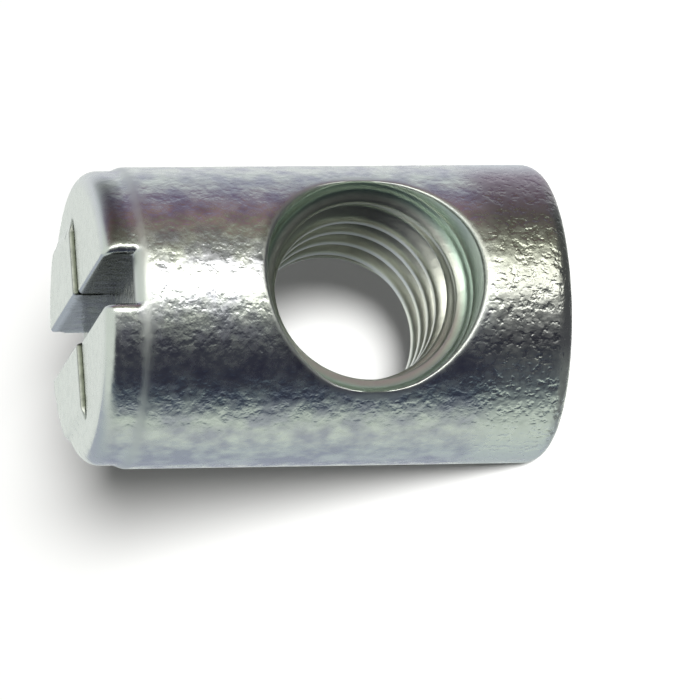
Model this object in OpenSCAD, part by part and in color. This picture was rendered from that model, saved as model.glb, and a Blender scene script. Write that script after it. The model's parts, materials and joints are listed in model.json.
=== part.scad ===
// Barrel nut, also called a cross dowel, for bolted furniture joints.
//
// A short round bar stands on its plain end, on the Z axis. A threaded hole
// crosses it along Y, and takes the bolt. The other end is a nose, turned a
// little thinner, with a screwdriver slot along Y: it shows which way the
// hidden hole points, and turns it into line. All sizes are millimetres.

/* [Barrel] */
// Diameter of the barrel
barrel_d = 12; // [10:0.1:16]
// Height from the plain end to the highest part of the slotted face
barrel_l = 19; // [16:0.1:30]
// Radius of the rounded rim round the plain end
plain_rim_r = 0.9; // [0.2:0.05:1.2]

/* [Nose] */
// How much the nose is turned down below the barrel, on the radius
nose_cut = 0.15; // [0.05:0.01:0.6]
// Length of the nose from its face down to the shoulder
nose_l = 1.35; // [1:0.05:3]
// Height of the sloping shoulder between nose and barrel
shoulder_l = 0.4; // [0.1:0.05:1]
// Radius of the rounded rim round the nose
nose_rim_r = 0.75; // [0.2:0.05:1.2]

/* [Slot] */
// Width of the screwdriver slot
slot_w = 2; // [1:0.1:3.5]
// Depth of the screwdriver slot below the nose's face
slot_depth = 1.25; // [0.5:0.05:3]

/* [Raised half of the face] */
// Height by which the rear half stands proud of the front half
step_h = 0.15; // [0.05:0.01:0.4]
// Width of the raised half, measured across the slot
step_w = 7.8; // [4:0.1:9]
// How far the raised half stays inside the nose's side
step_inset = 0.2; // [0.05:0.05:0.5]
// Radius of the rounded rim on the raised half
step_rim_r = 0.4; // [0.1:0.05:0.8]

/* [Threaded hole] */
// Height of the hole's axis above the plain end
hole_z = 8; // [6.5:0.1:11]
// Diameter of the hole inside its thread
bore_d = 6.7; // [5:0.1:7]
// How much wider the countersunk mouth is than the hole, on the radius
lip_w = 1; // [0.3:0.05:1.3]
// Full angle of the countersink
lip_angle = 90; // [60:5:120]
// How far the full mouth is sunk below the lowest point of its saddle
lip_sink = 0.05; // [0:0.05:0.5]

/* [Hidden] */
$fn = 96;
barrel_r = barrel_d / 2;
bore_r = bore_d / 2;
nose_r = barrel_r - nose_cut;
// The front half of the face lies here, and the raised half at barrel_l.
face_z = barrel_l - step_h;
shoulder_z = face_z - nose_l;
// The mouth is a circle seen along the hole, so its rim is a saddle on the
// barrel. The saddle is lowest where the rim is farthest from the XY plane
// through the hole, at this distance from the barrel's axis plane.
mouth_r = bore_r + lip_w;
mouth_y = sqrt(barrel_r ^ 2 - mouth_r ^ 2) - lip_sink;
lip_depth = lip_w / tan(lip_angle / 2);
// Cutters run past the surface that they cut by this much.
past = 1;

// Half-profile of a round disc on the Z axis whose top rim is rounded.
module rounded_top(radius, top, rim_r) {
    square([radius - rim_r, top]);
    square([radius, top - rim_r]);
    translate([radius - rim_r, top - rim_r])
        circle(r = rim_r);
}

// Half-profile of the plain end, with its rim rounded underneath.
module rounded_bottom(radius, top, rim_r) {
    translate([0, top])
        mirror([0, 1])
            rounded_top(radius, top, rim_r);
}

// The turned blank: barrel, sloping shoulder and thinner nose. The nose is
// the end of a core that starts above the rounded rim of the plain end.
module turned_blank() {
    rotate_extrude() {
        rounded_bottom(barrel_r, shoulder_z - shoulder_l, plain_rim_r);
        polygon([
            [0, shoulder_z - shoulder_l],
            [barrel_r, shoulder_z - shoulder_l],
            [nose_r, shoulder_z],
            [0, shoulder_z]
        ]);
        translate([0, plain_rim_r])
            rounded_top(nose_r, face_z - plain_rim_r, nose_rim_r);
    }
}

// The rear half of the slotted face stands a little proud of the front half,
// with a straight edge through the centre.
module raised_half() {
    intersection() {
        rotate_extrude()
            rounded_top(nose_r - step_inset, barrel_l, step_rim_r);
        translate([-step_w / 2, 0, shoulder_z])
            cube([step_w, barrel_d, nose_l + step_h + past]);
    }
}

module screwdriver_slot() {
    translate([-slot_w / 2, -barrel_d, face_z - slot_depth])
        cube([slot_w, 2 * barrel_d, slot_depth + step_h + past]);
}

// One countersunk mouth, round the Z axis, opening upwards.
module mouth() {
    translate([0, 0, mouth_y - lip_depth])
        cylinder(r1 = bore_r, r2 = mouth_r, h = lip_depth);
    translate([0, 0, mouth_y])
        cylinder(r = mouth_r, h = barrel_r + past - mouth_y);
}

// The cross hole along Y, with a mouth at each end. Its wall is the crest of
// the thread.
module cross_hole() {
    translate([0, 0, hole_z])
        for (turn = [90, -90])
            rotate([turn, 0, 0]) {
                cylinder(r = bore_r, h = barrel_r + past);
                mouth();
            }
}

module barrel_nut() {
    color([0.74, 0.76, 0.77])
        difference() {
            union() {
                turned_blank();
                raised_half();
            }
            screwdriver_slot();
            cross_hole();
        }
}

barrel_nut();
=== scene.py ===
# %% [markdown]
# # A barrel nut in zinc-plated steel
# A barrel nut is a short steel bar with a threaded hole across it. It is dropped into a drilled panel,
# a screwdriver in the slot of its nose turns it until the hole faces the bolt, and the bolt pulls the
# joint tight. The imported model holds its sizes. This lesson gives it what the model leaves out: the
# true thread, softened edges, the plating, the studio and the camera.

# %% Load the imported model
import json
import math

import bmesh
import bpy
import numpy as np
from mathutils import Matrix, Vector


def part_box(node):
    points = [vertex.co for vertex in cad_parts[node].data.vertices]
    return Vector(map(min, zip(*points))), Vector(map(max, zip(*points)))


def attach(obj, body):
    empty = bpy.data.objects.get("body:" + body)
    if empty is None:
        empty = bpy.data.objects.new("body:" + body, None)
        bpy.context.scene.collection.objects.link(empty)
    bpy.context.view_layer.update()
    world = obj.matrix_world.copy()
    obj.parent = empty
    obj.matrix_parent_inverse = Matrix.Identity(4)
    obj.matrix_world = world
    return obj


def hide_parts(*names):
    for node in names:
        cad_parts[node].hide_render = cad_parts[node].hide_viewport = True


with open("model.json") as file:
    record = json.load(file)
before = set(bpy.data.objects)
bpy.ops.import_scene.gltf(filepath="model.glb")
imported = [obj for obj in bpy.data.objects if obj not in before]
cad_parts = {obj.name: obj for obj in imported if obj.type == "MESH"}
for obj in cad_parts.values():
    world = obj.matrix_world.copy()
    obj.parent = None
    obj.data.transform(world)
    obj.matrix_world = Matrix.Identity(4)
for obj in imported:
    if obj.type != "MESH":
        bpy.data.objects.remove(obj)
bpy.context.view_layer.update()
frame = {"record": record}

# %% [markdown]
# ## Sizes
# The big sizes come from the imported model, so the dressed nut always fits it: the barrel from the
# node's box, the hole and the slot's floor from the record's mounts. The small ones, which the record
# doesn't carry, are written here. Everything is worked out in millimetres and turned to metres once,
# when the mesh is made.

# %% Sizes in millimetres
MM = 0.001
low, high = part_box("barrel_nut")
mounts = {mount["name"]: mount for mount in frame["record"]["mounts"]}
barrel_r = (high[0] - low[0]) / 2 / MM
barrel_l = (high[2] - low[2]) / MM
hole_z = mounts["bolt_hole"]["pos_m"][2] / MM
crest_r = mounts["bolt_hole"]["dims"]["r_mm"]
slot_floor_z = mounts["driver_slot"]["pos_m"][2] / MM

slot_half = 1.0  # half of the slot's width
step_h = 0.15  # how far the rear half of the slotted face stands proud
nose_cut = 0.15  # how much the nose is turned down, on the radius
face_z = barrel_l - step_h
nose_r = barrel_r - nose_cut
edge_r = 0.14  # the softening that tumbling gives every sharp edge
worn_r = 0.4  # the ends of the slot, which stick out most, are worn rounder
print(f"barrel {2 * barrel_r:.1f} x {barrel_l:.1f} mm, hole at {hole_z:.1f}, crest radius {crest_r:.2f}")

# %% [markdown]
# ## Soft edges
# Nothing on a tumbled part is quite sharp. A Bevel modifier could round the edges, but with one width
# for all of them, and here some are worn more than others. So four formulas do all the blending in
# this mesh: a soft step, a bell curve, a quarter-round edge and a soft maximum. Each works on whole
# arrays at once, so no loop ever walks over the vertices.


# %% Four formulas for soft edges
def smooth_step(t):
    """0 below 0 and 1 above 1; between them, three t squared minus two t cubed."""
    t = np.clip(t, 0.0, 1.0)
    return t * t * (3.0 - 2.0 * t)


def bell(distance, width):
    """A bell curve: e to the minus square of distance over width."""
    return np.exp(-((distance / width) ** 2))


def round_over(distance, radius):
    """Depth of a quarter-round edge at a distance from it: the radius minus the circle's height there."""
    near = np.clip(radius - distance, 0.0, radius)
    return radius - np.sqrt(radius**2 - near**2)


def soft_max(a, b, width):
    """The larger of two numbers, with the corner between them filled by a parabola of this width."""
    return np.maximum(a, b) + np.maximum(width - np.abs(a - b), 0.0) ** 2 / (4.0 * width)


print("a soft step at a quarter, half and three quarters:", smooth_step(np.array([0.25, 0.5, 0.75])))

# %% [markdown]
# ## The turned barrel
# On the real nut this is bar stock with a rounded plain end. A lathe surface suits it: a profile of
# radius against height, swung round the axis. The hole would leave ragged edges if it were cut from
# such a grid, so a window is left open at the front and at the back, and the hole's own rings fill it
# later, point for point. One half is made, and mirrored at the end.


# %% A turned surface
def lathe(radius, height, angle):
    """Turned surface: x is radius times sine, y is minus radius times cosine, z is the height."""
    radius, height, angle = np.broadcast_arrays(radius, height, angle)
    return np.stack([radius * np.sin(angle), -radius * np.cos(angle), height], axis=-1)


patches = []  # (points as rows x columns x 3, whether the last column joins the first)

# %% Columns round the barrel
window_angle = math.radians(60.0)  # from the middle of a window to its edge
window_cols = 36  # columns on that stretch
side_cols = 12  # columns from there to the line halfway round
slot_cols = 6  # columns from the middle of the slot to its wall
side_line = window_cols + side_cols
land_cols = side_line - slot_cols

quarter = np.concatenate(
    [
        np.linspace(0.0, window_angle, window_cols + 1),
        np.linspace(window_angle, math.pi / 2, side_cols + 1)[1:],
    ]
)
barrel_angles = np.concatenate([quarter, math.pi - quarter[-2::-1]])
column = np.arange(2 * side_line + 1)
print("columns in half a turn:", len(barrel_angles))

# %% Columns round the nose
crowding = 1.6  # how strongly columns crowd towards the slot's wall


def nose_angle(index, radius):
    """Angle of a column on the nose. Columns 0 to 6 share the slot's half width evenly; the rest run from
    the slot's wall to the side line, crowded towards the wall by a power, and mirror behind."""
    behind = index > side_line
    index = np.where(behind, 2 * side_line - index, index)
    wall = np.arcsin(slot_half / radius)
    inside = np.arcsin(slot_half * np.minimum(index / slot_cols, 1.0) / radius)
    share = (np.clip(index - slot_cols, 0, None) / land_cols) ** crowding
    angle = np.where(index <= slot_cols, inside, wall + (math.pi / 2 - wall) * share)
    return np.where(behind, math.pi - angle, angle)


print("the slot's wall is at", np.degrees(nose_angle(slot_cols, nose_r)).round(2), "degrees")

# %% The barrel from its plain end past the windows
rim_r = 0.8  # rounding of the plain end's rim
window_reach = 5.4  # a window's edges lie this far above and below the hole's axis
window_low, window_high = hole_z - window_reach, hole_z + window_reach
window_rows = 72

end_rings = [0.0, 1.7, 3.4]  # radii of the rings on the flat end
turn = np.linspace(0.0, math.pi / 2, 11)
low_r = np.concatenate([end_rings, barrel_r - rim_r + rim_r * np.sin(turn), [barrel_r] * 3])
low_z = np.concatenate([[0.0] * 3, rim_r - rim_r * np.cos(turn), [1.4, 2.0, window_low]])
patches.append((lathe(low_r[:, None], low_z[:, None], barrel_angles), False))

band_z = np.linspace(window_low, window_high, window_rows + 1)
band = slice(window_cols, window_cols + 2 * side_cols + 1)
patches.append((lathe(barrel_r, band_z[:, None], barrel_angles[band]), False))
print(f"windows from {window_low:.1f} to {window_high:.1f} mm above the plain end")

# %% The barrel's shoulder and the worn sill of the slot
shoulder_l = 0.54  # height of the slope down to the nose, which ends level with the slot's floor
shoulder_z = slot_floor_z - shoulder_l
sill_z = slot_floor_z - worn_r
sill = np.radians(np.linspace(0.0, 90.0, 8))

ring_z = [window_high, 14.3, 15.2, 16.1, 16.7, shoulder_z, shoulder_z + 0.07]  # closer where it bends
up_z = np.concatenate([ring_z, sill_z + worn_r * np.sin(sill)])
fall = smooth_step((up_z - shoulder_z) / (slot_floor_z - shoulder_z))
up_r = (barrel_r - (barrel_r - nose_r) * fall)[:, None]
warp = smooth_step((up_z - window_high) / (shoulder_z - window_high))[:, None]
up_angles = (1 - warp) * barrel_angles + warp * nose_angle(column, up_r)
upper = lathe(up_r, up_z[:, None], up_angles)
beside = np.maximum(np.abs(upper[..., 0]) - slot_half, 0.0)
below = np.maximum(slot_floor_z - upper[..., 2], 0.0)
upper[..., 1] -= np.sign(upper[..., 1]) * round_over(np.hypot(beside, below), worn_r)
patches.append((upper, False))
print("barrel points in half a turn:", sum(points.size // 3 for points, _ in patches))

# %% [markdown]
# ## The sides of the nose
# The slot splits the nose into two D-shaped lands. The side of each could be a plain turned surface, but
# the rear half stands a little proud, as a headed blank does where the dies met. So two profiles are
# turned, a low one and a taller one, and the columns blend from the first to the second.

# %% Profiles of the nose
nose_rim_r = 0.75  # rounding of the nose's rim
pad_r = nose_r - 0.2  # the raised part stays inside the nose's side
pad_rim_r = 0.4  # rounding of its rim
pad_half = 3.9  # half of its width
pad_ramp = 0.6  # width of the soft slope along each of its sides
shared = 7  # both profiles begin with the same points

land = np.arange(slot_cols, len(column) - slot_cols)
roll = np.radians(np.linspace(0.0, 90.0, 13))
pad_roll = np.radians(np.linspace(0.0, 90.0, 8))
front_r = np.concatenate([[nose_r, nose_r], nose_r - nose_rim_r + nose_rim_r * np.cos(roll)])
front_z = np.concatenate(
    [[slot_floor_z, slot_floor_z + 0.2], face_z - nose_rim_r + nose_rim_r * np.sin(roll)]
)
rear_r = np.concatenate([front_r[:shared], pad_r - pad_rim_r + pad_rim_r * np.cos(pad_roll)])
rear_z = np.concatenate([front_z[:shared], barrel_l - pad_rim_r + pad_rim_r * np.sin(pad_roll)])
print("profile points:", len(front_r), "front and", len(rear_r), "rear")


# %% The land's sides and rim
def on_pad(x):
    """1 on the raised part, 0 outside it, with a soft ramp across its side."""
    return smooth_step((pad_half + pad_ramp / 2 - np.abs(x)) / pad_ramp)


def outward(radius, height):
    """Unit normals of a profile: the tangent turned a right angle; flat at its end, level at its start."""
    across, along = np.gradient(height), -np.gradient(radius)
    across[-1], along[-1] = 0.0, 1.0
    across[0], along[0] = 1.0, 0.0
    length = np.hypot(across, along)
    return across / length, along / length


proud = on_pad(front_r[:, None] * np.sin(nose_angle(land, front_r[:, None])))
proud = proud * (land > side_line)
side_r = front_r[:, None] * (1 - proud) + rear_r[:, None] * proud
side_z = front_z[:, None] * (1 - proud) + rear_z[:, None] * proud
sides = lathe(side_r, side_z, nose_angle(land, side_r))
arc = sides[-1].copy()  # the rim's inner edge, before wear
print("columns on the raised half:", int(np.sum(proud[-1] > 0.5)))

# %% Wear along the land's sides
front_n, rear_n = outward(front_r, front_z), outward(rear_r, rear_z)
normal_y = front_n[0][:, None] * (1 - proud) + rear_n[0][:, None] * proud
normal_z = front_n[1][:, None] * (1 - proud) + rear_n[1][:, None] * proud
push = round_over(np.abs(sides[..., 0]) - slot_half, edge_r + (worn_r - edge_r) * normal_y**2)
sides[..., 1] -= np.sign(sides[..., 1]) * push * normal_y
sides[..., 2] -= push * normal_z
patches.append((sides, False))
print(f"deepest wear beside the slot: {push.max():.2f} mm")

# %% [markdown]
# ## The flat face and the slot
# A flat D could be one many-sided polygon, but it couldn't carry the step and the groove across it.
# Here it is a grid that runs in from the rim along straight lines, crowded towards the slot, where its
# edge is rounded. The slot's wall and floor then join the points that are already there.

# %% Across and along the flat face
out_steps, in_steps = 4, 20  # from the rim to the raised part's side, and from there to the slot
outer_share, inner_share = 0.9, 0.8  # of the land's width, where it is narrower than the raised part
edge_crowding = 1.8

outer = np.minimum(pad_half + pad_ramp / 2, slot_half + outer_share * (arc[:, 0] - slot_half))
inner = np.minimum(pad_half - pad_ramp / 2, slot_half + inner_share * (arc[:, 0] - slot_half))
step = np.arange(out_steps + 1) / out_steps
far = arc[:, :1] + (outer - arc[:, 0])[:, None] * step
back_off = (1 - np.arange(in_steps + 1) / in_steps) ** edge_crowding
near = slot_half + (inner - slot_half)[:, None] * back_off
face_x = np.concatenate([far, (outer + inner)[:, None] / 2, near], axis=1)

spread = np.arange(-land_cols, land_cols + 1) / land_cols
reach = np.where(spread < 0, -arc[0, 1], arc[-1, 1])
chord_y = reach * np.sign(spread) * np.abs(spread) ** crowding
reached = np.concatenate([step, np.ones(face_x.shape[1] - out_steps - 1)])
face_y = arc[:, 1:2] + (chord_y - arc[:, 1])[:, None] * reached
print("face grid:", face_x.shape)

# %% The step and the groove on the face
riser_w = 0.04  # the raised half's front edge climbs within this width
groove_depth = 0.05
groove_w = 0.12
foot_y = -0.08  # the groove runs just in front of the riser

riser = smooth_step(face_y / riser_w)
groove = groove_depth * bell(face_y - foot_y, groove_w)
height = face_z + on_pad(face_x) * (step_h * riser - groove)
height[:, 0] = arc[:, 2]
height = height - round_over(face_x - slot_half, edge_r)
patches.append((np.stack([face_x, face_y, height], axis=-1), False))
print(f"face from {height.min():.2f} to {height.max():.2f} mm above the plain end")


# %% The slot's wall and floor
def between(a, b, share):
    """The point a share of the way from a to b."""
    return a + (b - a) * share


seam_h = 0.05  # a thin rib runs down the wall from the riser
seam_w = 0.08
seam_fade = 5.0  # it fades in and out over a fifth of the wall

along_slot = ((face_y[:, -1] - face_y[0, -1]) / (face_y[-1, -1] - face_y[0, -1]))[:, None]
climb = (sides[..., 2] - slot_floor_z) / (sides[-1, :, 2] - slot_floor_z)
climbed = between(climb[:, 0], climb[:, -1], along_slot)
wall_y = between(sides[:, 0, 1], sides[:, -1, 1], along_slot)
wall_z = slot_floor_z + (height[:, -1:] - slot_floor_z) * climbed
seam = seam_h * bell(wall_y, seam_w)
seam = seam * smooth_step(seam_fade * climbed) * smooth_step(seam_fade - seam_fade * climbed)
patches.append((np.stack([slot_half - seam, wall_y, wall_z], axis=-1), False))

front_sill = upper[-1, : slot_cols + 1]
rear_sill = upper[-1, : -slot_cols - 2 : -1]
patches.append((between(front_sill[None], rear_sill[None], along_slot[..., None]), False))

patches += [(points * [-1.0, 1.0, 1.0], wrap) for points, wrap in patches]
print("grids, with their mirror images:", len(patches))

# %% [markdown]
# ## The thread
# A tap cuts a helix: a groove with 60 degree flanks that moves one pitch along the hole for each turn.
# It could be a twisted Screw modifier and a boolean, but a boolean leaves ragged rings where the groove
# runs out in the countersink. Here the hole's wall is one grid of angle against depth, and its radius is
# a formula: the larger of the thread's radius and the countersink's. The helix fades out by itself.

# %% Sizes of the thread and the mouth
pitch = 25.4 / 18.0  # 18 turns to the inch
root_r = 7.94 / 2.0  # half of the bolt's 5/16 inch
flank = math.radians(30.0)
root_flat = pitch / 8.0
crest_flat = pitch - root_flat - 2.0 * (root_r - crest_r) * math.tan(flank)
helix_start = -4.6  # where a crest passes the side of the hole that faces +X
lip_w = 1.0  # how much the countersink widens the hole, on the radius
mouth_r = crest_r + lip_w
mouth_sink = 0.05  # the countersink ends this far below the lowest point of the mouth's saddle
mouth_y = math.sqrt(barrel_r**2 - mouth_r**2) - mouth_sink
print(f"thread: pitch {pitch:.3f} mm, crest flat {crest_flat:.2f} mm, root radius {root_r:.2f} mm")

# %% Radius of the threaded wall
crest_blend, root_blend, cone_blend = 0.3, 0.15, 0.06  # parabolas in the corners of the profile
torn_y, torn_w, torn_share = -2.9, 0.6, 0.8  # where the torn first turn ends, over what width; its loss
burr_y, burr_h, burr_w = mouth_y - 0.62, 0.24, 0.17  # the burr's place, height and width
scar_gap, scar_h, scar_w = 0.3, 0.08, 0.12  # a shallow groove this far outside the burr


def hole_radius(theta, y):
    """Radius of the wall. Distance along the hole from the nearest crest, less half the crest's flat, over
    the tangent of the flank, gives the depth, held between crest and root. The first turn is torn, so
    four fifths of its height is gone. The countersink's radius grows a millimetre per millimetre from
    where it starts, and the wider of the two stands. The tap raised a burr: a bell-shaped ring that
    stands into the mouth, with a shallow groove outside it."""
    along = y - helix_start + pitch * theta / (2.0 * math.pi)
    from_crest = np.abs((along + pitch / 2.0) % pitch - pitch / 2.0)
    depth = soft_max((from_crest - crest_flat / 2.0) / math.tan(flank), 0.0, crest_blend)
    depth = -soft_max(-depth, crest_r - root_r, root_blend)
    torn = 1.0 - smooth_step((y - torn_y) / torn_w)
    depth = depth + (root_r - crest_r - depth) * torn_share * torn
    cone = crest_r + np.clip(np.abs(y) - (mouth_y - lip_w), -1.0, lip_w)
    from_burr = np.abs(y) - burr_y
    burr = scar_h * bell(from_burr - scar_gap, scar_w) - burr_h * bell(from_burr, burr_w)
    return soft_max(crest_r + depth, cone, cone_blend) + burr


print(f"radius at the burr in the front of the hole: {hole_radius(0.0, -burr_y):.2f} mm")

# %% [markdown]
# ## The hole and its rings
# From one window to the other, the hole is a single tube of rings: first across the barrel's curved
# skin, round the lip, down the plain mouth, through the thread, and out the same way behind. A boolean
# cut would leave thin, crooked faces on the skin. Here each ring has one point for each point of the
# window's frame, so all edges meet.

# %% The frame of a window and the lip of the mouth
lip_r = 0.3  # rounding of the mouth's edge
stations = 8 * window_cols
theta = np.radians(-45.0) + 2 * math.pi * np.arange(stations) / stations
edge = np.linspace(-1.0, 1.0, 2 * window_cols + 1)[:-1]
one = np.ones_like(edge)
frame_a = window_angle * np.concatenate([one, -edge, -one, edge])
frame_z = hole_z + (window_high - hole_z) * np.concatenate([edge, one, -edge, -one])

mouth_x, mouth_z = mouth_r * np.cos(theta), hole_z + mouth_r * np.sin(theta)
mouth_depth = np.sqrt(barrel_r**2 - mouth_x**2)
mouth_a = np.arcsin(mouth_x / barrel_r)
away = np.stack([barrel_r * (frame_a - mouth_a), frame_z - mouth_z])
away = lip_r * away / np.hypot(*away)
start_a, start_z = mouth_a + away[0] / barrel_r, mouth_z + away[1]
lip_depth = np.minimum(lip_r, 0.8 * (mouth_depth - mouth_y))
print("points in each ring:", stations)

# %% Rings from a window down to the thread
skin_rings, lip_rings, wall_rings = 12, 6, 5
skin_crowding = 1.3


def mouth_rings(side):
    """Rings on the skin, then a parabola from skin to wall with the edge as its corner, then the wall.
    side is -1 at the front and +1 behind."""
    s = (1 - (1 - np.arange(skin_rings + 1) / skin_rings) ** skin_crowding)[:, None]
    a, z = between(frame_a, start_a, s), between(frame_z, start_z, s)
    skin = np.stack([barrel_r * np.sin(a), side * barrel_r * np.cos(a), z], axis=-1)
    corner = np.stack([mouth_x, side * mouth_depth, mouth_z], axis=-1)
    inside = np.stack([mouth_x, side * (mouth_depth - lip_depth), mouth_z], axis=-1)
    t = (np.arange(1, lip_rings + 1) / lip_rings)[:, None, None]
    lip = (1 - t) ** 2 * skin[-1] + 2 * t * (1 - t) * corner + t**2 * inside
    down = (np.arange(1, wall_rings + 1) / wall_rings)[:, None]
    wall_y = between(side * (mouth_depth - lip_depth), side * mouth_y, down)
    wall = np.stack(np.broadcast_arrays(mouth_x, wall_y, mouth_z), axis=-1)
    return np.concatenate([skin, lip, wall])


# %% The whole tube
bore_rings = 137
bore_y = np.linspace(-mouth_y, mouth_y, bore_rings + 2)[1:-1, None]
bore_r = hole_radius(theta, bore_y)
bore = [bore_r * np.cos(theta), np.broadcast_to(bore_y, bore_r.shape), hole_z + bore_r * np.sin(theta)]
tube = np.concatenate([mouth_rings(-1.0), np.stack(bore, axis=-1), mouth_rings(1.0)[::-1]])
patches.append((tube, True))
print("tube of the hole:", tube.shape[:2])

# %% [markdown]
# ## One closed skin
# The real nut is one piece of steel. Loose grids would do for a picture, but not for a model that is
# used again. The grids meet along shared points, so merging the doubles closes the skin. The mirrored
# half is inside out, so the normals are worked out again once everything is joined.


# %% Faces of a grid
def grid_faces(rows, cols, wrap, first):
    """Quads of a grid: each point with its neighbour, and the two above them."""
    row = np.arange(rows - 1)[:, None]
    col = np.arange(cols if wrap else cols - 1)[None]
    nxt = (col + 1) % cols
    quad = [row * cols + col, row * cols + nxt, (row + 1) * cols + nxt, (row + 1) * cols + col]
    return first + np.stack(quad, axis=-1).reshape(-1, 4)


# %% Join the grids into one mesh
sharp_from = math.radians(50.0)  # outside the hole, an edge sharper than this is shaded as an edge


def make_skin(name, grids):
    """Mesh object from point grids in millimetres, with doubles merged and faces turned outwards."""
    counts = np.cumsum([0] + [points.size // 3 for points, _ in grids])
    points = np.concatenate([points.reshape(-1, 3) for points, _ in grids]) * MM
    quads = np.concatenate(
        [grid_faces(p.shape[0], p.shape[1], wrap, n) for (p, wrap), n in zip(grids, counts)]
    )
    mesh = bpy.data.meshes.new(name)
    mesh.from_pydata(points, [], quads)
    work = bmesh.new()
    work.from_mesh(mesh)
    bmesh.ops.remove_doubles(work, verts=work.verts, dist=1e-7)
    bmesh.ops.recalc_face_normals(work, faces=work.faces)
    open_edges = sum(len(edge.link_faces) != 2 for edge in work.edges)
    for edge in work.edges:
        start = edge.verts[0].co
        beyond_bore = math.hypot(start.x, start.z - hole_z * MM) > mouth_r * MM
        edge.smooth = not (beyond_bore and edge.calc_face_angle(0.0) > sharp_from)
    for face in work.faces:
        face.smooth = True
    work.to_mesh(mesh)
    work.free()
    piece = bpy.data.objects.new(name, mesh)
    bpy.context.scene.collection.objects.link(piece)
    triangles = sum(len(face.vertices) - 2 for face in mesh.polygons)
    print(f"{name}: {len(mesh.vertices)} points, {triangles} triangles, {open_edges} open edges")
    return piece


barrel_nut = make_skin("plated_barrel_nut", patches)
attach(barrel_nut, "root")
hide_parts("barrel_nut")

# %% [markdown]
# ## Where the plating differs, and where shade and a reflection are painted
# Barrel nuts are tumbled in a plating bath. Shade is painted dark into the colour in the slot, in the hole,
# in the crease at the foot of the raised half, beside the hole's mouth and on the nose's side, and a light
# mint is painted in the mouth as a reflection. The turned shoulder and the cut hole are rougher, the
# chromate in the hole is cream, and the formed faces have no orange peel. All of this could be painted by
# hand. Here five numbers on each point of the mesh, from 0 to 1, tell the material how much of each there
# is, so the finish follows the shape if a size changes. All functions take x, y and z, so that one loop can
# call them.

# %% Painted shade in the slot and at the raised half's foot
touch = 0.01  # points this near to a face count as on it
ends_y = 5.0  # the slot's worn ends start this far from the middle


def painted_shade_in_slot(x, y, z):
    """Painted shade in the slot: three quarters at the front, falling to a half behind. It drops to 0 over
    the last 0.3 mm below the top edges and over 0.5 mm of the worn ends."""
    inside = (np.abs(x) < slot_half + touch) & (z > slot_floor_z - touch)
    under_edge = 1.0 - smooth_step((z - face_z + 0.3) / 0.3)
    by_depth = 0.75 - 0.25 * smooth_step((y + 0.8) / 2.4)
    off_ends = 1.0 - smooth_step((np.abs(y) - ends_y) / 0.5)
    return inside * under_edge * by_depth * off_ends


def painted_shade_at_foot(x, y, z):
    """Painted shade in the crease at the raised half's foot: 1.3 times a bell curve of the distance from
    the riser's foot, 0.95 at most, on the raised part's width."""
    return np.minimum(1.3 * bell(y - foot_y, 0.17), 0.95) * on_pad(x) * (z > face_z - step_h)


# %% Painted shade in the hole, beside it and on the nose
def painted_shade_in_hole(x, y, z):
    """Painted shade inside the mouth: a soft step of the lean, which is 0.75 of x plus 0.66 of the height
    above the axis, over the distance from it. It is largest on the wall towards +X and +Z."""
    from_axis = np.hypot(x, z - hole_z)
    lean = (0.75 * x + 0.66 * (z - hole_z)) / np.maximum(from_axis, 1.0)
    return 0.7 * smooth_step((lean + 0.1) / 0.7) * (from_axis < mouth_r - 0.02)


def painted_shade_by_mouth(x, y, z):
    """Painted shade on the skin: a bell curve of the distance from the mouth's edge, on its upper side."""
    from_edge = np.hypot(x, z - hole_z) - mouth_r
    return 0.5 * bell(from_edge - 0.15, 0.3) * smooth_step((z - hole_z) / mouth_r - 0.2)


def painted_shade_on_nose(x, y, z):
    """Painted shade on the nose's side: an even share, with a bell curve below its rim, between x of 1 and
    5 mm.
    """
    share = 0.3 * smooth_step((z - slot_floor_z) / 0.2) + 0.35 * bell(z - face_z + 0.6, 0.3)
    on_side = (np.hypot(x, y) > nose_r - 0.7) * (1.0 - smooth_step((z - face_z + 0.35) / 0.2))
    return share * on_side * smooth_step((x - 1.0) / 0.6) * (1.0 - smooth_step((x - 4.2) / 0.8))


def painted_shade_places(x, y, z):
    """The largest of the five counts of painted shade."""
    kinds = [painted_shade_in_slot, painted_shade_at_foot, painted_shade_in_hole, painted_shade_by_mouth, painted_shade_on_nose]
    return np.maximum.reduce([kind(x, y, z) for kind in kinds])


# %% Where it is rough, cream, painted with a mint reflection, or calm
def rough_places(x, y, z):
    """Shoulder: a bell curve of the height round its middle. Slot: its worn ends. Hole: everything near
    its axis. The largest counts."""
    shoulder = 0.8 * bell(z - slot_floor_z + 0.35, 0.22) * (np.hypot(x, y) > nose_r - 0.05)
    ends = (np.abs(x) < slot_half + touch) * smooth_step((np.abs(y) - ends_y) / 0.3) * (z > sill_z)
    hole = 0.7 * (1.0 - smooth_step((np.hypot(x, z - hole_z) - mouth_r - 0.15) / 0.2))
    return np.maximum.reduce([shoulder, ends, hole])


def cream_places(x, y, z):
    """Everything in the hole, up to the edge of its mouth."""
    return 1.0 - smooth_step((np.hypot(x, z - hole_z) - mouth_r + 0.05) / 0.1)


def painted_mint_reflection_places(x, y, z):
    """Where a light mint is painted as a reflection: the outer part of the countersink and the plain mouth.
    """
    return cream_places(x, y, z) * smooth_step((np.hypot(x, z - hole_z) - crest_r - 0.5) / 0.2)


def calm_places(x, y, z):
    """A soft step up the nose, and every rough place: these have hardly any orange peel."""
    nose = smooth_step((z - slot_floor_z - 0.3) / 0.8)
    return np.maximum(nose, rough_places(x, y, z))


# %% Five attributes on the points
points = np.empty(3 * len(barrel_nut.data.vertices))
barrel_nut.data.vertices.foreach_get("co", points)
points = points.reshape(-1, 3) / MM
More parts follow.
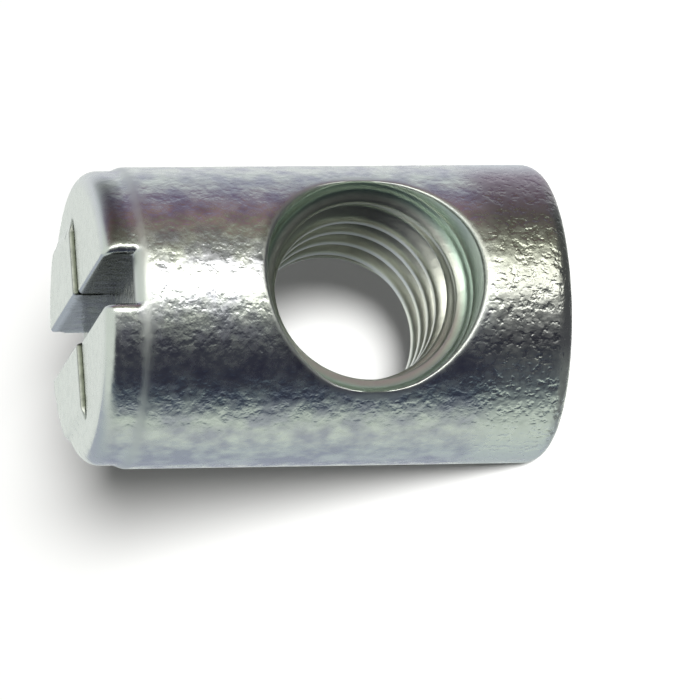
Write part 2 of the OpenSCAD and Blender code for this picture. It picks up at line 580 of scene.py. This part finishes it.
# two of these are painted light: the shade, and the mint reflection in the mouth
places = {
    "dark": painted_shade_places,
    "rough": rough_places,
    "cream": cream_places,
    "mint": painted_mint_reflection_places,
    "calm": calm_places,
}
for name, place in places.items():
    share = place(*points.T)
    attribute = barrel_nut.data.attributes.new(name, "FLOAT", "POINT")
    attribute.data.foreach_set("value", share.astype(np.float32))
    print(f"{name}: {np.mean(share > 0.3):.1%} of the points")

# %% [markdown]
# ## Helpers for materials
# Blender keeps colours as linear light, while a paint chart gives them as sRGB. One function turns the
# second into the first, one adds a node with its settings and links, one starts a material and one fills
# a colour ramp. Nodes could be joined by hand in the editor, but a script keeps every number in sight.


# %% Colours and nodes
def linear(hex_colour):
    """sRGB hex to linear: below 0.04045 a twelfth part, above it a power of 2.4."""
    parts = [int(hex_colour[i : i + 2], 16) / 255.0 for i in (1, 3, 5)]
    return [p / 12.92 if p <= 0.04045 else ((p + 0.055) / 1.055) ** 2.4 for p in parts] + [1.0]


def add_node(tree, kind, settings=None, values=None, links=None):
    """Add a node: settings are its properties, values fill its sockets, links join other nodes' outputs."""
    node = tree.nodes.new(kind)
    for key, value in (settings or {}).items():
        setattr(node, key, value)
    for key, value in (values or {}).items():
        node.inputs[key].default_value = value
    for key, output in (links or {}).items():
        tree.links.new(output, node.inputs[key])
    return node


def new_material(name):
    """An empty node material."""
    material = bpy.data.materials.new(name)
    material.use_nodes = True
    material.node_tree.nodes.clear()
    return material, material.node_tree


def fill_ramp(ramp, stops):
    """Leave one stop of a colour ramp, and give it pairs of position and colour, in order."""
    elements = ramp.color_ramp.elements
    while len(elements) > 1:
        elements.remove(elements[-1])
    elements[0].position, elements[0].color = stops[0]
    for position, colour in stops[1:]:
        elements.new(position).color = colour


soft = {"interpolation_type": "SMOOTHSTEP"}  # a ramp node with this setting starts and ends gently
mixed_colours = {"data_type": "RGBA"}
mixed_numbers = {"data_type": "FLOAT"}
print("sRGB #808080 is", round(linear("#808080")[0], 3), "in linear light")

# %% [markdown]
# ## Zinc plate with a clear chromate
# The real finish is a bright, slightly blue metal under a clear chromate, too thin to hide it. It could
# be an image of scratches, but that would stretch in the hole. Patterns on the piece's own coordinates
# stay true to size everywhere. The material starts with those coordinates, and with a number that is 1
# near the plain end, where the bar was cut off and the tumbling left more marks.

# %% Coordinates for the plating
plate, plate_tree = new_material("clear_zinc_plate")
on_piece = add_node(plate_tree, "ShaderNodeTexCoord").outputs["Object"]
piece_axes = add_node(plate_tree, "ShaderNodeSeparateXYZ", links={"Vector": on_piece})
above_end = piece_axes.outputs["Z"]
amount = {
    name: add_node(plate_tree, "ShaderNodeAttribute", {"attribute_name": name}).outputs["Fac"]
    for name in places
}
near_end = add_node(
    plate_tree, "ShaderNodeMapRange", soft,
    {"From Min": 2.6 * MM, "From Max": 4.4 * MM, "To Min": 1.0, "To Max": 0.0}, {"Value": above_end},
).outputs["Result"]
print("the material reads:", ", ".join(amount))

# %% [markdown]
# ## Orange peel and pits
# Tumbling leaves a fine orange peel and small pits, deepest near the plain end, where the bar was cut
# off. Both could be modelled, but only with millions of faces. A Bump node bends the light instead, from
# heights in metres. The peel is 0.4 mm wide and the pits 0.32 mm, about twice the real grain, because
# finer ones wouldn't show in the render.

# %% Heights for the Bump node
peel_size, pit_size = 0.4 * MM, 0.32 * MM
marks = {"From Min": 2.4 * MM, "From Max": 4.5 * MM}  # deep marks end between these heights

peel = add_node(
    plate_tree, "ShaderNodeTexNoise", values={"Scale": 1 / peel_size, "Detail": 2.0, "Roughness": 0.45},
    links={"Vector": on_piece},
).outputs["Fac"]
peel_depth = add_node(
    plate_tree, "ShaderNodeMapRange", soft,
    {**marks, "To Min": 0.044 * MM, "To Max": 0.034 * MM}, {"Value": above_end},
).outputs["Result"]
spots = add_node(
    plate_tree, "ShaderNodeTexNoise", values={"Scale": 1 / pit_size, "Detail": 2.0, "Roughness": 0.5},
    links={"Vector": on_piece},
).outputs["Fac"]
pits = add_node(
    plate_tree, "ShaderNodeMapRange", soft, {"From Min": 0.3, "From Max": 0.55}, {"Value": spots}
).outputs["Result"]
pit_depth = add_node(
    plate_tree, "ShaderNodeMapRange", soft,
    {**marks, "To Min": 0.02 * MM, "To Max": 0.008 * MM}, {"Value": above_end},
).outputs["Result"]

# %% Relief
pit_height = add_node(
    plate_tree, "ShaderNodeMath", {"operation": "MULTIPLY"}, links={0: pits, 1: pit_depth}
).outputs[0]
relief = add_node(
    plate_tree, "ShaderNodeMath", {"operation": "MULTIPLY_ADD"},
    links={0: peel, 1: peel_depth, 2: pit_height},
).outputs[0]
strength = add_node(
    plate_tree, "ShaderNodeMapRange", values={"To Min": 1.0, "To Max": 0.02},
    links={"Value": amount["calm"]},
).outputs["Result"]
bump = add_node(
    plate_tree, "ShaderNodeBump", values={"Distance": 1.0}, links={"Height": relief, "Strength": strength}
)
print(f"orange peel {peel_size / MM:.2f} mm wide, pits {pit_size / MM:.2f} mm")

# %% [markdown]
# ## Tints of the plating, and painted reflections and shade
# A clear chromate is a film so thin that it tints the light, unevenly, because it dries in patches. A
# thin-film shader could tint it too, but then the film's bands fall where they will. Here clouds 0.9 mm
# wide mix a lilac grey and a warm white. Near the plain end the plating is duller, and bands from -X to
# +X paint the reflection's light and dark bands into the colour, with the chromate's tints. The hole is
# cream, with a light mint painted as a reflection towards its mouth. The painted shade comes last.

# %% Clouds of tint
cloud_size = 0.9 * MM
even_tint = 0.53  # formed faces have no clouds, only this mix

cloud = add_node(
    plate_tree, "ShaderNodeTexNoise", values={"Scale": 1 / cloud_size, "Detail": 2.0, "Roughness": 0.5},
    links={"Vector": on_piece},
).outputs["Fac"]
clouded = add_node(
    plate_tree, "ShaderNodeMix", mixed_numbers, {"B": even_tint}, {"Factor": amount["calm"], "A": cloud}
).outputs["Result"]
tint = add_node(plate_tree, "ShaderNodeValToRGB", links={"Fac": clouded})
fill_ramp(tint, [(0.35, linear("#c2c3cc")), (0.65, linear("#e8ece5"))])
print("clouds", round(cloud_size / MM, 2), "mm wide")

# %% Painted reflection bands near the plain end
across_barrel = add_node(
    plate_tree, "ShaderNodeMapRange", values={"From Min": -6.0 * MM, "From Max": 6.0 * MM},
    links={"Value": piece_axes.outputs["X"]},
).outputs["Result"]
# painted reflection: lighter and darker bands across X, where the barrel's reflected bands fall, tinted
# like the chromate
painted_reflection_bands = {
    0.2: "#eef3ea",
    0.27: "#aeaeb0",
    0.6: "#acafa4",
    0.7: "#929590",
    0.8: "#a8a0a2",
    0.87: "#ad9fa9",
    0.96: "#dfe3e7",
}
painted_reflection_ramp = add_node(plate_tree, "ShaderNodeValToRGB", links={"Fac": across_barrel})
fill_ramp(painted_reflection_ramp, [(place, linear(tone)) for place, tone in painted_reflection_bands.items()])
plate_colour = add_node(
    plate_tree, "ShaderNodeMix", mixed_colours,
    links={"Factor": near_end, "A": tint.outputs["Color"], "B": painted_reflection_ramp.outputs["Color"]},
).outputs["Result"]
print("bands near the plain end:", len(painted_reflection_bands))

# %% Cream, a painted mint reflection and painted shade over the tint
for name, tone in {"cream": "#eff0e8", "mint": "#e0f5e8", "dark": "#2a3021"}.items():
    plate_colour = add_node(
        plate_tree, "ShaderNodeMix", mixed_colours, {"B": linear(tone)},
        {"Factor": amount[name], "A": plate_colour},
    ).outputs["Result"]
    print(name, "is", tone)

# %% [markdown]
# ## Gloss of the plating
# Bright zinc is nearly a mirror, and every scuff spreads its reflection. A roughness map could be
# painted, but the same spots that make the pits already say where the metal is scuffed: roughness runs
# from 0.16 to 0.3 with them, a little more near the plain end, and 0.42 on the shoulder and in the hole.
# Metallic is 1, and the IOR stays at its default, as on any metal.

# %% Metal
shine = add_node(
    plate_tree, "ShaderNodeMapRange",
    values={"From Min": 0.35, "From Max": 0.65, "To Min": 0.16, "To Max": 0.3}, links={"Value": spots},
).outputs["Result"]
scuffed = add_node(
    plate_tree, "ShaderNodeMath", {"operation": "MULTIPLY_ADD"}, {1: 0.08}, {0: near_end, 2: shine}
).outputs[0]
roughness = add_node(
    plate_tree, "ShaderNodeMix", mixed_numbers, {"B": 0.42}, {"Factor": amount["rough"], "A": scuffed}
).outputs["Result"]
metal = add_node(
    plate_tree, "ShaderNodeBsdfPrincipled", values={"Metallic": 1.0},
    links={"Base Color": plate_colour, "Roughness": roughness, "Normal": bump.outputs["Normal"]},
)
add_node(plate_tree, "ShaderNodeOutputMaterial", links={"Surface": metal.outputs["BSDF"]})
barrel_nut.data.materials.append(plate)
print(plate.name, "has", len(plate_tree.nodes), "nodes")

# %% [markdown]
# ## The camera
# The nut is seen lying down: the camera stands a little above it and is rolled a quarter turn, so the
# barrel's axis runs across the picture. The nut could be laid down instead, but then it would leave the
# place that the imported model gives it. A long lens keeps the perspective as flat as in product work.


# %% Directions and placed objects
def direction(bearing, elevation):
    """Unit vector from the nut, for angles in radians: sine and minus cosine of the bearing, both times
    the elevation's cosine, then its sine. Bearing 0 faces the front, and grows towards +X."""
    level = math.cos(elevation)
    return np.array([math.sin(bearing) * level, -math.cos(bearing) * level, math.sin(elevation)])


def placed(axes, place):
    """Matrix of an object: its own X, Y and Z axes as the first three columns, its place as the fourth."""
    rows = np.column_stack([*axes, place]).tolist()
    return Matrix(rows + [[0.0, 0.0, 0.0, 1.0]])


# %% Camera
camera_azimuth = math.radians(-16.2)
camera_elevation = math.radians(13.0)
camera_roll = math.radians(0.7)  # beyond the quarter turn
camera_distance = 0.3
view_width = 27.98 * MM
aim_right, aim_down = 1.66 * MM, 1.353 * MM  # the nut sits a little off the middle
sensor_width = 36.0

back = direction(camera_azimuth, camera_elevation)
level_up = np.array([math.cos(camera_azimuth), math.sin(camera_azimuth), 0.0])
level_right = np.cross(level_up, back)
up = math.cos(camera_roll) * level_up + math.sin(camera_roll) * level_right
right = math.cos(camera_roll) * level_right - math.sin(camera_roll) * level_up
middle = np.array([0.0, 0.0, barrel_l / 2 * MM])
position = middle + right * aim_right - up * aim_down + back * camera_distance

camera_data = bpy.data.cameras.new("camera")
camera_data.sensor_width = sensor_width
camera_data.lens = sensor_width * camera_distance / view_width
camera_data.clip_start, camera_data.clip_end = 0.01, 10.0
camera = bpy.data.objects.new("camera", camera_data)
camera.matrix_world = placed([right, up, back], position)
bpy.context.scene.collection.objects.link(camera)
bpy.context.scene.camera = camera
print("camera at", [round(float(v), 4) for v in position], "lens", round(camera_data.lens, 1))

# %% [markdown]
# ## The floor
# A product studio lays a wide sheet of matt white paper. A curved backdrop would hide the horizon, but
# the camera looks down, so a flat sheet is enough. It is stage, not part of the nut. The metal doesn't
# mirror it, because the studio's walls below already hold all that the metal shows.

# %% Floor
floor_half = 1.5
corners = [(-1, -1), (1, -1), (1, 1), (-1, 1)]
floor_mesh = bpy.data.meshes.new("floor")
floor_mesh.from_pydata([(floor_half * x, floor_half * y, 0) for x, y in corners], [], [(0, 1, 2, 3)])
floor = bpy.data.objects.new("floor", floor_mesh)
bpy.context.scene.collection.objects.link(floor)
floor.visible_glossy = False

paper, paper_tree = new_material("white_paper")
sheet = add_node(
    paper_tree, "ShaderNodeBsdfPrincipled", values={"Base Color": linear("#f4f4f2"), "Roughness": 0.9}
)
add_node(paper_tree, "ShaderNodeOutputMaterial", links={"Surface": sheet.outputs["BSDF"]})
floor_mesh.materials.append(paper)
print("floor:", 2 * floor_half, "m wide")

# %% [markdown]
# ## The studio's walls
# Metal shows only what it reflects, so the studio around it matters most: a broad soft box, dark gaps
# beside it, and pale walls behind. They could be lamps and cards, but each would need its place found by
# trial. Here they are a ramp over the compass, with one colour for each bearing, and they light the
# metal alone. The soft box is at 22 to 35 degrees and the darkest gap at -20 to -66, and a pale ceiling
# closes the studio above, a dark ground below.

# %% Bearing of each direction
world = bpy.data.worlds.new("studio")
world.use_nodes = True
world.cycles_visibility.diffuse = False
world_tree = world.node_tree
world_tree.nodes.clear()
looking = add_node(world_tree, "ShaderNodeTexCoord").outputs["Generated"]
world_axes = add_node(world_tree, "ShaderNodeSeparateXYZ", links={"Vector": looking})
minus_y = add_node(
    world_tree, "ShaderNodeMath", {"operation": "MULTIPLY"}, {1: -1.0}, {0: world_axes.outputs["Y"]}
)
compass = add_node(
    world_tree, "ShaderNodeMath", {"operation": "ARCTAN2"},
    links={0: world_axes.outputs["X"], 1: minus_y.outputs[0]},
)
turned = add_node(
    world_tree, "ShaderNodeMapRange",
    values={"From Min": -math.pi, "From Max": math.pi, "To Min": 0.0, "To Max": 1.0},
    links={"Value": compass.outputs[0]},
)
walls = add_node(world_tree, "ShaderNodeValToRGB", links={"Fac": turned.outputs["Result"]})
print("the camera's own bearing:", round(math.degrees(camera_azimuth), 1), "degrees")

# %% Colours of the walls
wall_tones = {  # bearing from the camera's own, in degrees towards +X
    180: "#ccd0cb",
    150: "#c6c8cc",
    128: "#aeb3b6",
    112: "#93929c",
    103: "#776f80",
    92: "#736878",
    86: "#7c5f66",
    78: "#746a62",
    66: "#74736a",
    56: "#8a8d84",
    45: "#a8aaa0",
    40: "#f0f0e4",
    35: "#fffff4",
    22: "#fffff8",
    16: "#f2f4ec",
    9: "#a8aca6",
    -2: "#6e7170",
    -12: "#5e6062",
    -20: "#36373e",
    -48: "#2c2d38",
    -58: "#333844",
    -66: "#404a56",
    -74: "#6c747a",
    -82: "#a4aca6",
    -100: "#b4bab5",
    -130: "#9ea6ab",
    -155: "#9a9fa9",
}
soft_box_gain = {35: 3.0, 22: 3.0}  # here the wall is a lit soft box, this many times brighter


def wall_stop(bearing, tone):
    """Position on the ramp, as a share of a full turn from the back, and the colour times its gain."""
    from_back = (math.degrees(camera_azimuth) + bearing + 180.0) % 360.0
    gain = soft_box_gain.get(bearing, 1.0)
    return from_back / 360.0, [gain * c for c in linear(tone)[:3]] + [1.0]


fill_ramp(walls, sorted(wall_stop(bearing, tone) for bearing, tone in wall_tones.items()))
print("colours round the compass:", len(wall_tones))

# %% Ceiling and ground
overhead = add_node(
    world_tree, "ShaderNodeMapRange", soft, {"From Min": 0.7, "From Max": 0.9},
    {"Value": world_axes.outputs["Z"]},
)
underneath = add_node(
    world_tree, "ShaderNodeMapRange", soft, {"From Min": -0.5, "From Max": -0.8},
    {"Value": world_axes.outputs["Z"]},
)
with_ceiling = add_node(
    world_tree, "ShaderNodeMix", mixed_colours, {"B": linear("#c4cac2")},
    {"Factor": overhead.outputs["Result"], "A": walls.outputs["Color"]},
)
with_ground = add_node(
    world_tree, "ShaderNodeMix", mixed_colours, {"B": linear("#56585a")},
    {"Factor": underneath.outputs["Result"], "A": with_ceiling.outputs["Result"]},
)
sky = add_node(
    world_tree, "ShaderNodeBackground", values={"Strength": 1.4},
    links={"Color": with_ground.outputs["Result"]},
)
add_node(world_tree, "ShaderNodeOutputWorld", links={"Surface": sky.outputs["Background"]})
bpy.context.scene.world = world
print("the world has", len(world_tree.nodes), "nodes")

# %% [markdown]
# ## Soft boxes
# Two lamps light the paper to white and give the nut its soft shadow: a wide one overhead, and a small,
# strong one near the camera that shines through the hole. They could light the metal too, but its walls
# do that already, so the metal doesn't mirror them.


# %% Lamps
def soft_box(name, bearing, elevation, distance, size, power):
    """Round area light aimed at the nut, from a bearing beside the camera's and an elevation, both in
    degrees. The rest is in metres and watts."""
    towards = direction(camera_azimuth + math.radians(bearing), math.radians(elevation))
    data = bpy.data.lights.new(name, "AREA")
    data.shape, data.size, data.energy = "DISK", size, power
    light = bpy.data.objects.new(name, data)
    side = np.cross([0.0, 0.0, 1.0], towards)
    side = side / np.linalg.norm(side)
    light.matrix_world = placed([side, np.cross(towards, side), towards], towards * distance + middle)
    light.visible_glossy = False
    bpy.context.scene.collection.objects.link(light)
    print(f"{name}: {size} m wide, {power} W, {distance} m away")


soft_box("overhead_box", 40.0, 60.0, 1.0, 0.7, 0.95)
soft_box("low_box", 2.7, 11.1, 2.0, 0.13, 255.0)

# %% Colours come out as they are written
bpy.context.scene.view_settings.view_transform = "Standard"
print("view transform:", bpy.context.scene.view_settings.view_transform)
